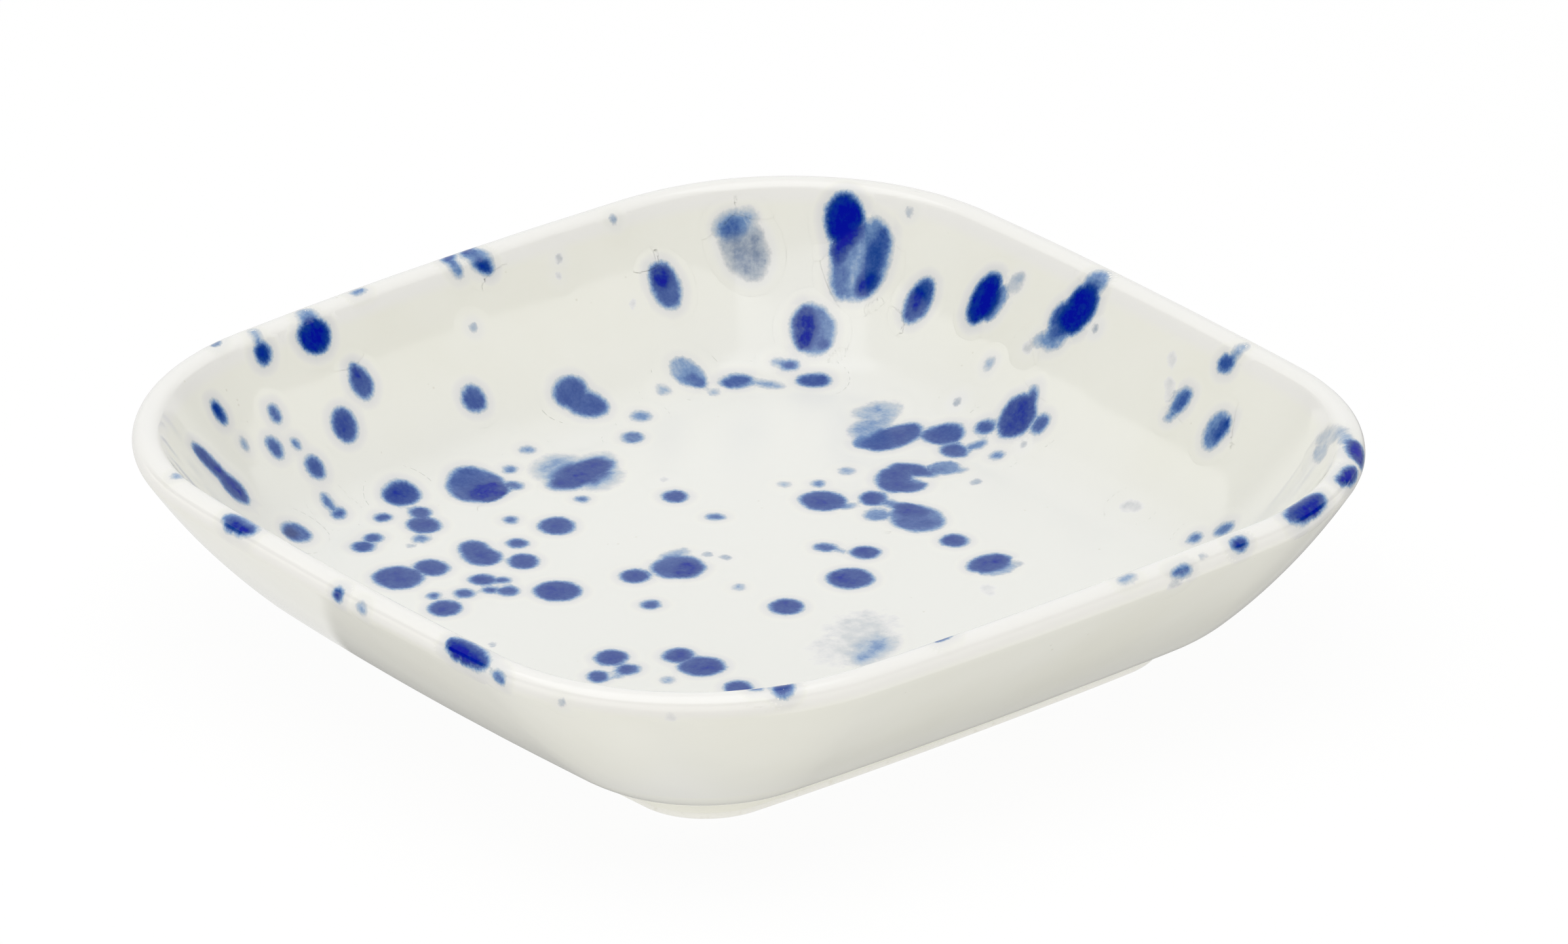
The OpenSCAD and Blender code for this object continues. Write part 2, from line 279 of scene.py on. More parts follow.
# cobalt: the same glaze with blue in it; the drops carry how far a point lies inside the blue in millimetres,
# how deep the blue is there, how soft its edge is and how grey it has fired
cobaltLook = {
    "stops": [(0.0, glazeLook["white"]), (0.04, (0.735, 0.730, 0.718)), (0.10, (0.59, 0.618, 0.635)),
              (0.25, (0.37, 0.456, 0.575)), (0.40, (0.165, 0.275, 0.485)), (0.52, (0.095, 0.180, 0.395)),
              (0.64, (0.045, 0.102, 0.325)), (0.76, (0.016, 0.062, 0.275)), (0.86, (0.003, 0.036, 0.255)),
              (1.0, (0.0012, 0.005, 0.305))],
    "grain": (3000.0, 2.0, 0.6),  # noises: times per metre, detail, roughness
    "grainDepth": 0.20,
    "edgeGrain": 0.32,  # millimetres
    "wash": (800.0, 3.0, 0.6),
    "washDepth": 0.34,
    "streak": (1500.0, 2.0, 0.6),
    "streakLength": 0.16,  # breadth over length of the runs down the wall
    "streakRound": 42.0 * mm,
    "streakDepth": 0.15,
    "streakStart": (7.5 * mm, 10.0 * mm),
    "haloReach": 1.60,  # millimetres
    "haloDepth": 0.070,
    "thinEdge": (0.0, 1.5),  # millimetres in from the edge over which the blue deepens
    "thinDepth": 0.09,
    "fullTone": (0.0, 0.5),  # depths of blue over which a drop comes to vary in full
    "faintTone": (0.45, 0.10),
    "blotch": 1.9,  # how uneven the pale washes are
    "blotchEdge": 1.6,
    "leastCover": 0.1,
    "inkStart": (0.0, 0.02),  # depths of blue over which the plain glaze ends
    "drySpan": (0.80, 0.97),  # depths of blue over which the gloss dries off
    "drySheen": (0.50, 0.10),
}
cobalt, tree, shader, place = newMaterial("cobaltDrops")
look = cobaltLook
m = lambda *values, **settings: calc(tree, *values, **settings)  # on the tree in hand
white = glazeSkin(tree, shader, place)
carried = lambda name: add(tree, "ShaderNodeAttribute", attribute_name=name).outputs["Fac"]
uneven = lambda place, name: m("SUBTRACT", noise(tree, place, *look[name]), 0.5)
inside, tone, soft, ash = (carried(name) for name in ("inkEdge", "inkTone", "inkSoft", "inkGrey"))
grain, wash = uneven(place, "grain"), uneven(place, "wash")
sides = add(tree, "ShaderNodeSeparateXYZ", {"Vector": place}).outputs
bearing = m("MULTIPLY", m("ARCTAN2", sides["Y"], sides["X"]), look["streakRound"])
run = xyz(tree, bearing, m("MULTIPLY", sides["Z"], look["streakLength"]), 0.0)
onWall = band(tree, sides["Z"], *look["streakStart"], 0.0, look["streakDepth"])
streak = m("MULTIPLY", uneven(run, "streak"), onWall)
faint = band(tree, tone, *look["faintTone"])
edge = m("MULTIPLY_ADD", grain, look["edgeGrain"], inside)
blot = m("MULTIPLY", wash, m("MULTIPLY", faint, soft))
edge = m("MULTIPLY_ADD", blot, look["blotchEdge"], edge)
cover = band(tree, edge, m("MULTIPLY", soft, -1.0), soft)
depth = m("ADD", m("MULTIPLY_ADD", wash, look["washDepth"], streak), m("MULTIPLY", grain, look["grainDepth"]))
depth = m("ADD", depth, band(tree, inside, *look["thinEdge"], -look["thinDepth"], 0.0))
depth = m("MULTIPLY_ADD", depth, band(tree, tone, *look["fullTone"]), tone)
halo = band(tree, inside, -look["haloReach"], 0.0, 0.0, look["haloDepth"])
halo = m("MULTIPLY", halo, tone)
blot = m("MULTIPLY_ADD", m("MULTIPLY", wash, faint), look["blotch"], 1.0)
cover = m("MULTIPLY", cover, m("MAXIMUM", blot, look["leastCover"]))
ink = m("MAXIMUM", m("MULTIPLY", cover, depth), halo, clamp=True)
blue = ramp(tree, ink, look["stops"])
blue = blend(tree, ash, blue, add(tree, "ShaderNodeRGBToBW", {"Color": blue}).outputs[0])
plug(tree, shader.inputs["Base Color"], blend(tree, band(tree, ink, *look["inkStart"]), white, blue))
plug(tree, shader.inputs["Specular IOR Level"], band(tree, ink, *look["drySpan"], *look["drySheen"]))
print("materials ready")

# the dish's own sizes, in millimetres and degrees, as in the part's source
dish = {
    "rimWidth": 95.0, "sideTurn": 3.0, "floorCorner": 5.0,
    "height": 21.0, "wall": 2.8, "slope": 58.0, "bow": 65.0, "turn": 15.0, "well": 8.0, "floor": 4.5,
    "footHeight": 2.0, "footWidth": 3.5, "footOut": 2.9, "footEdge": 0.6, "footFillet": 0.8,
    "baseFillet": 0.5, "glaze": 0.3, "bare": 0.9, "bead": 0.12,
    "rightPull": 0.5, "leftPull": -0.2,  # how far two corners were drawn out by hand
    "pullPower": 10.0,  # the higher, the closer to the corner that stays
    "wave": 0.05, "waveScale": 95.0, "waveDetail": 1.0, "waveFrom": (0.5, 4.0), "seed": 3.0,
    # mesh: steps round the rim and along the section's arcs, and the flat plates
    "around": 440, "wellSteps": 16, "wallSteps": 18, "lipSteps": 20, "turnSteps": 14,
    "filletSteps": 6, "fewSteps": 4, "merge": 0.0005,
    "plateReach": 0.6, "plateShares": (1.0, 0.94, 0.82, 0.66, 0.5, 0.34, 0.17, 0.0),
}
halfWidth = dish["rimWidth"] / 2
coat, footTop = dish["glaze"], dish["footHeight"]
floorZ = footTop + dish["floor"]
lipRadius = dish["wall"] / 2
lipAngle = dish["slope"] - 90


def step(centre, radius, angle):
    turn = math.radians(angle)
    return (centre[0] + radius * math.cos(turn), centre[1] + radius * math.sin(turn))


def arc(centre, radius, start, end, steps):
    return [step(centre, radius, start + (end - start) * i / steps) for i in range(steps + 1)]


# centre of an arc that touches a level and lies inside the wall's bow
def touching(bowRadius, radius, level):
    rise = level + radius - bowCentre[1]
    return (bowCentre[0] + math.sqrt((bowRadius - radius) ** 2 - rise ** 2), level + radius)


def angleTo(start, end):
    return math.degrees(math.atan2(end[1] - start[1], end[0] - start[0]))


lipCentre = (-lipRadius, dish["height"] - lipRadius)
bowCentre = step(lipCentre, lipRadius - dish["bow"], lipAngle)
turnCentre = touching(dish["bow"], dish["turn"], footTop)
turnAngle = angleTo(bowCentre, turnCentre)
wellCentre = touching(dish["bow"] - dish["wall"], dish["well"], floorZ)
wellAngle = angleTo(bowCentre, wellCentre)
flatRun = max(-turnCentre[0], -wellCentre[0])
cornerRadius = flatRun + dish["floorCorner"]
plateRun = flatRun + dish["plateReach"] * dish["floorCorner"]
footX = turnCentre[0] + dish["footOut"]
footInX = footX - dish["footWidth"]
footClayX = footX - coat


# paths along the section, drawn in by inset; x is the way out from the rim's edge
def wellPath(inset, fine):
    inner = dish["bow"] - dish["wall"] + inset
    return (arc(wellCentre, dish["well"] + inset, -90, wellAngle, dish["wellSteps"] * fine)[:-1]
            + arc(bowCentre, inner, wellAngle, lipAngle, dish["wallSteps"] * fine)[:-1]
            + arc(lipCentre, lipRadius - inset, lipAngle + 180, lipAngle, dish["lipSteps"] * fine)[:-1])


def outsidePath(inset, low, fine):
    return (arc(bowCentre, dish["bow"] - inset, lipAngle, turnAngle, dish["wallSteps"] * fine)[:-1]
            + arc(turnCentre, dish["turn"] - inset, turnAngle, low, dish["turnSteps"] * fine))


# flat plate from the pole out, as shares of the way in from the plate's edge
def plate(level):
    return [(plateRun, share, level) for share in dish["plateShares"]]


def ring(points):
    return [(-x, 0.0, z) for x, z in points]


filletReach = dish["turn"] + dish["footFillet"]
filletX = footX + dish["footFillet"]
filletCentre = (filletX, turnCentre[1] - math.sqrt(filletReach ** 2 - (filletX - turnCentre[0]) ** 2))
filletAngle = angleTo(filletCentre, turnCentre)
footLow = angleTo(turnCentre, filletCentre)
clayTurn = dish["turn"] - coat
clayLow = -math.degrees(math.acos((footClayX - turnCentre[0]) / clayTurn))
beadCentre = (footX - dish["bead"], dish["bare"] + dish["bead"])


def coatSection(fine):
    outside = (wellPath(0.0, fine) + outsidePath(0.0, footLow, fine)
               + arc(filletCentre, dish["footFillet"], filletAngle, 180, dish["filletSteps"])[1:]
               + arc(beadCentre, dish["bead"], 0, -90, dish["fewSteps"]) + [(footClayX, dish["bare"])])
    inside = outsidePath(coat, clayLow, 1)[::-2] + wellPath(coat, 1)[::-2]
    return plate(floorZ) + ring(outside + inside) + plate(floorZ - coat)[::-1]


def claySection():
    outside = wellPath(coat, 1) + outsidePath(coat, -90, 1)
    top, low = floorZ - coat, footTop + coat
    return plate(top) + ring(outside) + plate(low)[::-1]


def footSection():
    edge, steps = dish["footEdge"], dish["filletSteps"]
    loop = (arc(turnCentre, clayTurn, clayLow, -90, dish["fewSteps"])
            + [(footInX, footTop + coat)]
            + arc((footInX + edge, edge), edge, 180, 270, steps)
            + arc((footClayX - edge, edge), edge, 270, 360, steps))
    return ring(loop + loop[:1])


def baseSection():
    fillet = dish["baseFillet"]
    under, over = footTop, footTop + coat
    corner = arc((footInX - fillet, under - fillet), fillet, 90, 0, dish["filletSteps"])
    return plate(under) + ring(corner + [(footInX, over)]) + plate(over)[::-1]


# sweeps a section round the bowed square rim; the section's vertices are the start mesh,
# x the way in from the rim, y the share of the way on to the pole, z the height
def dishSweepTree():
    tree, given = newTree("dishSweep", {
        "Int": ["Around"], "Material": ["Material"],
        "Float": ["Half Width", "Corner Radius", "Side Turn", "Right Pull", "Left Pull", "Hand Wave", "Wave Scale",
                  "Seed"]})
    m = lambda *args, **kw: calc(tree, *args, **kw)
    half, corner, turn = given["Half Width"], given["Corner Radius"], given["Side Turn"]
    count = add(tree, "GeometryNodeAttributeDomainSize", {"Geometry": given["Geometry"]}).outputs["Point Count"]
    grid = add(tree, "GeometryNodeMeshGrid", {"Size X": 1.0, "Size Y": 1.0, "Vertices Y": count,
                                              "Vertices X": m("ADD", given["Around"], 1.0)}).outputs["Mesh"]
    index = tree.nodes.new("GeometryNodeInputIndex").outputs[0]
    column = m("FLOOR", m("DIVIDE", m("ADD", index, 0.5), count))
    row = m("SUBTRACT", index, m("MULTIPLY", column, count))
    sample = add(tree, "GeometryNodeSampleIndex", {"Geometry": given["Geometry"], "Index": row},
                 data_type="FLOAT_VECTOR", domain="POINT")
    plug(tree, sample.inputs["Value"], tree.nodes.new("GeometryNodeInputPosition").outputs[0])
    section = add(tree, "ShaderNodeSeparateXYZ", {"Vector": sample.outputs["Value"]}).outputs
    # radii and centres of the side arcs and the corner arcs, which touch
    sine, cosine = m("SINE", turn), m("COSINE", turn)
    k = m("SUBTRACT", cosine, sine)
    side = m("DIVIDE", m("SUBTRACT", half, m("MULTIPLY", corner, k)), m("SUBTRACT", 1.0, k))
    offset = m("MULTIPLY", m("SUBTRACT", side, corner), sine)
    sideLength = m("MULTIPLY", side, turn)
    cornerLength = m("MULTIPLY", corner, m("SUBTRACT", math.pi / 2, m("MULTIPLY", turn, 2.0)))
    # quarter, and the way along it; the nudge keeps a quarter's start out of the one before
    nudge = 0.00001
    around = m("MULTIPLY", m("DIVIDE", column, given["Around"]), 4.0)
    quarter = m("FLOOR", m("ADD", around, nudge))
    way = m("MULTIPLY", m("SUBTRACT", around, quarter), m("MULTIPLY_ADD", sideLength, 2.0, cornerLength))
    past = m("SUBTRACT", way, sideLength)
    last = m("SUBTRACT", past, cornerLength)
    onFirst = m("DIVIDE", m("MINIMUM", way, sideLength), side)
    onCorner = m("DIVIDE", m("MAXIMUM", m("MINIMUM", past, cornerLength), 0.0), corner)
    onLast = m("DIVIDE", m("MAXIMUM", last, 0.0), side)
    angle = m("ADD", m("ADD", onFirst, onCorner), onLast)
    isLast = m("GREATER_THAN", last, 0.0)
    isCorner = m("SUBTRACT", m("GREATER_THAN", past, 0.0), isLast)
    isFirst = m("SUBTRACT", m("SUBTRACT", 1.0, isCorner), isLast)
    back = m("SUBTRACT", half, side)
    centreX = m("MULTIPLY_ADD", back, isFirst, m("MULTIPLY", offset, isCorner))
    centreY = m("MULTIPLY_ADD", back, isLast, m("MULTIPLY", offset, isCorner))
    reach = m("MULTIPLY_ADD", m("SUBTRACT", corner, side), isCorner, side)
    reach = m("SUBTRACT", reach, section["X"])
    keep = m("SUBTRACT", 1.0, section["Y"])
    x = m("MULTIPLY", m("MULTIPLY_ADD", reach, m("COSINE", angle), centreX), keep)
    y = m("MULTIPLY", m("MULTIPLY_ADD", reach, m("SINE", angle), centreY), keep)
    spun = add(tree, "ShaderNodeVectorRotate", {"Vector": xyz(tree, x, y, section["Z"]),
                                                "Angle": m("MULTIPLY", quarter, math.pi / 2)},
               rotation_type="Z_AXIS").outputs[0]
    # two corners drawn out by hand
    heading = vec(tree, "NORMALIZE", vec(tree, "MULTIPLY", spun, (1.0, 1.0, 0.0)))
    pull, diagonal = 1.0, 0.70711
    for part, amount in ((diagonal, given["Right Pull"]), (-diagonal, given["Left Pull"])):
        near = m("MAXIMUM", vec(tree, "DOT_PRODUCT", heading, (part, part, 0.0)), 0.0)
        near = m("POWER", near, dish["pullPower"])
        pull = m("MULTIPLY_ADD", near, m("DIVIDE", amount, half), pull)
    drawn = vec(tree, "MULTIPLY", spun, xyz(tree, pull, pull, 1.0))
    # uneven surface of a hand-finished pot, with the standing edge kept flat; doubled, as wander halves it
    lift = band(tree, section["Z"], *(height * mm for height in dish["waveFrom"]), 0.0, 2.0)
    wobble = wander(tree, drawn, given["Wave Scale"], dish["waveDetail"], given["Seed"],
                    m("MULTIPLY", given["Hand Wave"], lift))
    moved = add(tree, "GeometryNodeSetPosition", {"Geometry": grid, "Position": drawn,
                                                  "Offset": wobble}).outputs[0]
    closed = add(tree, "GeometryNodeMergeByDistance", {"Geometry": moved,
                                                       "Distance": dish["merge"] * mm}).outputs[0]
    endTree(tree, closed, given["Material"])
    return tree


dishSweep = dishSweepTree()


def sweep(name, section, material, around):
    start = bpy.data.meshes.new(name + "Section")
    start.from_pydata([(d * mm, share, z * mm) for d, share, z in section], [], [])
    return bake(name, start, dishSweep, {
        "Around": around, "Half Width": halfWidth * mm, "Corner Radius": cornerRadius * mm,
        "Side Turn": math.radians(dish["sideTurn"]), "Right Pull": dish["rightPull"] * mm,
        "Left Pull": dish["leftPull"] * mm, "Hand Wave": dish["wave"] * mm, "Wave Scale": dish["waveScale"],
        "Seed": dish["seed"], "Material": material})


clayBody = sweep("clayBody", claySection(), clay, dish["around"])
footRing = sweep("footRing", footSection(), clay, dish["around"])
glazeCoat = sweep("glazeCoat", coatSection(1), glaze, dish["around"])
baseGlaze = sweep("baseGlaze", baseSection(), glaze, dish["around"])
finishPiece(clayBody, "clay", "clay_body")
finishPiece(footRing, "clay", "foot_ring")
finishPiece(glazeCoat, "glaze", "glaze_coat")
finishPiece(baseGlaze, "glaze", "base_glaze")

# blue drops, in millimetres: middle, half length, half breadth, turn in degrees, how deep the blue is,
# and for some how soft the edge is and how grey
floorDrops = [
    (-31.7, 12.7, 6.7, 0.94, 0.78, 80, 0.46), (-29.0, 9.6, 6.5, 1.19, 0.94, 147, 0.64),
    (-29.5, 26.0, 6.6, 1.48, 0.56, 36, 0.38), (-31.3, 21.0, 6.7, 0.45, 0.36, 77, 0.3),
    (-10.5, 31.4, 6.6, 2.05, 1.7, 38, 0.8), (-13.3, 27.8, 6.5, 3.36, 1.91, 99, 0.8),
]
# the others lie on the flat of the floor, so their rows leave the height out
flatDrops = [
    (-16.1, 27.1, 2.45, 1.67, 129, 0.33, 0.6), (-18.5, 30.0, 2.06, 1.67, 72, 0.28, 0.8),
    (-14.1, 25.1, 1.34, 1.08, 145, 0.58, 0.35), (-16.5, 29.3, 1.35, 0.87, 143, 0.34, 0.5),
    (-7.4, 30.3, 1.49, 1.2, 174, 0.8), (-10.5, 20.1, 0.75, 0.71, 160, 0.36),
    (-10.1, 16.4, 0.66, 0.57, 148, 0.58), (-12.0, 14.0, 0.51, 0.49, 10, 0.34),
    (-6.2, 22.3, 2.65, 1.72, 142, 0.82), (-6.9, 24.6, 2.04, 1.34, 26, 0.82),
    (-4.3, 22.5, 1.66, 1.32, 63, 0.72, 0.4), (-4.8, 24.2, 0.65, 0.58, 43, -0.44),
    (-5.2, 27.3, 1.55, 1.39, 109, 0.52, 0.35), (-3.8, 28.2, 0.58, 0.43, 102, 0.32),
    (-5.1, 25.6, 1.01, 0.66, 48, 0.58), (-1.0, 27.6, 0.67, 0.5, 104, 0.24, 0.25, 0.3),
    (-7.0, 14.5, 2.22, 1.93, 5, 0.82), (-4.7, 15.4, 1.09, 0.65, 65, 0.33, 0.35),
    (-4.4, 18.3, 1.48, 1.22, 145, 0.82), (-1.5, 16.4, 1.24, 1.14, 152, 0.52),
    (1.4, 18.7, 3.02, 2.4, 170, 0.62), (-0.3, 19.3, 1.79, 1.31, 5, 0.82, 0.35),
    (2.1, 17.8, 1.72, 1.32, 47, 0.7, 0.5), (-2.1, 18.9, 1.47, 0.73, 15, 0.5),
    (7.3, 18.4, 1.3, 1.21, 148, 0.84), (0.7, 8.6, 1.03, 0.8, 29, 0.72),
    (2.1, 9.2, 0.68, 0.28, 12, 0.5), (4.0, 10.7, 1.32, 1.27, 174, 0.84),
    (7.3, 6.3, 2.13, 2.03, 170, 0.86), (13.0, 17.9, 2.23, 1.6, 94, 0.86),
    (14.4, 17.6, 1.8, 1.23, 80, 0.34, 0.35), (14.6, 19.8, 0.72, 0.51, 168, 0.2, 0.35, 0.3),
    (-30.3, -18.2, 0.76, 0.68, 77, 0.8), (-27.6, -21.4, 0.91, 0.85, 127, 0.76),
    (-26.7, -23.2, 1.08, 1.02, 173, 0.8), (-29.9, -7.7, 3.27, 2.75, 159, 0.74),
    (-28.3, -7.6, 2.2, 1.68, 111, 0.92, 0.35), (-28.0, -5.0, 0.95, 0.76, 7, 0.64),
    (-30.8, -3.2, 0.71, 0.57, 133, 0.6), (-25.9, 1.3, 3.95, 2.14, 102, 0.84, 0.8),
    (-28.3, 0.3, 2.63, 2.05, 125, 0.33, 1.1), (-23.7, 2.0, 2.3, 1.4, 112, 0.3, 1.1),
    (-27.4, 2.6, 3.0, 1.1, 90, 0.36, 1.1), (-21.6, -2.0, 0.59, 0.56, 1, 0.66),
    (-29.0, -15.0, 1.16, 0.93, 149, 0.8), (-26.7, -16.3, 1.71, 1.51, 176, 0.82),
    (-24.6, -18.2, 0.82, 0.71, 153, 0.56), (-24.1, -19.8, 0.49, 0.36, 146, 0.2, 0.25, 0.3),
    (-22.4, -9.6, 0.74, 0.64, 152, 0.66), (-18.7, -7.2, 1.8, 1.63, 157, 0.82),
    (-18.2, -16.2, 2.11, 1.64, 172, 0.82), (-19.8, -15.8, 1.64, 1.35, 150, 0.8),
    (-18.1, -12.1, 1.0, 0.92, 161, 0.78), (-14.8, -14.0, 1.57, 1.34, 152, 0.82),
    (-19.5, -24.7, 2.4, 2.24, 170, 0.82), (-19.2, -21.1, 1.75, 1.46, 178, 0.82),
    (-14.2, -19.1, 1.22, 1.05, 38, 0.82), (-13.0, -17.9, 0.85, 0.57, 46, 0.74),
    (-12.0, -19.8, 0.71, 0.65, 35, 0.76), (-10.8, -18.8, 0.99, 0.91, 165, 0.74),
    (-13.0, -22.1, 0.91, 0.84, 164, 0.78), (-14.4, -24.5, 0.65, 0.56, 152, 0.7),
    (-7.9, -15.4, 2.15, 2.0, 28, 0.86), (-11.7, -25.3, 1.63, 1.54, 119, 0.84),
    (6.0, -20.1, 1.6, 1.47, 131, 0.84), (8.3, -23.3, 1.12, 0.98, 153, 0.82),
    (8.9, -20.5, 1.1, 0.99, 96, 0.82), (9.3, -21.9, 0.5, 0.47, 20, 0.4),
    (-5.8, -8.2, 1.4, 1.34, 169, 0.84), (-4.8, -4.1, 2.42, 2.29, 104, 0.74),
    (-3.7, -3.8, 1.77, 1.43, 107, 0.88), (-7.0, -2.9, 1.48, 0.85, 93, 0.29),
    (-6.9, -1.7, 0.71, 0.53, 118, 0.32), (-5.1, -0.4, 0.51, 0.48, 15, 0.3, 0.25, 0.3),
    (-3.5, 0.4, 0.55, 0.45, 4, 0.28, 0.25, 0.3), (-16.5, 4.8, 1.24, 1.14, 156, 0.84),
    (-10.8, 5.0, 0.79, 0.65, 44, 0.66), (-0.2, -10.7, 0.89, 0.84, 166, 0.76),
    (2.1, -2.5, 0.57, 0.49, 148, 0.4), (8.1, -1.7, 1.62, 1.48, 152, 0.86),
    (-19.9, 6.3, 0.5, 0.36, 145, 0.08, 0.25, 0.5), (9.6, -15.2, 1.47, 1.38, 112, 0.84),
    (12.7, -15.0, 2.04, 1.91, 36, 0.86), (12.9, -19.0, 0.65, 0.48, 129, 0.4),
    (18.2, -15.2, 1.36, 1.25, 155, 0.86), (20.0, -1.3, 3.15, 1.39, 114, 0.36, 1.3),
    (16.5, 0.2, 3.98, 2.72, 129, 0.09, 1.6, 0.3), (17.8, -4.1, 2.62, 1.77, 131, 0.06, 1.6, 0.3),
    (-3.1, -26.6, 0.48, 0.28, 144, 0.2, 0.25, 0.3), (17.2, 14.4, 0.96, 0.57, 142, 0.06, 0.5, 0.5),
]
floorDrops += [(x, y, floorZ, *rest) for x, y, *rest in flatDrops]
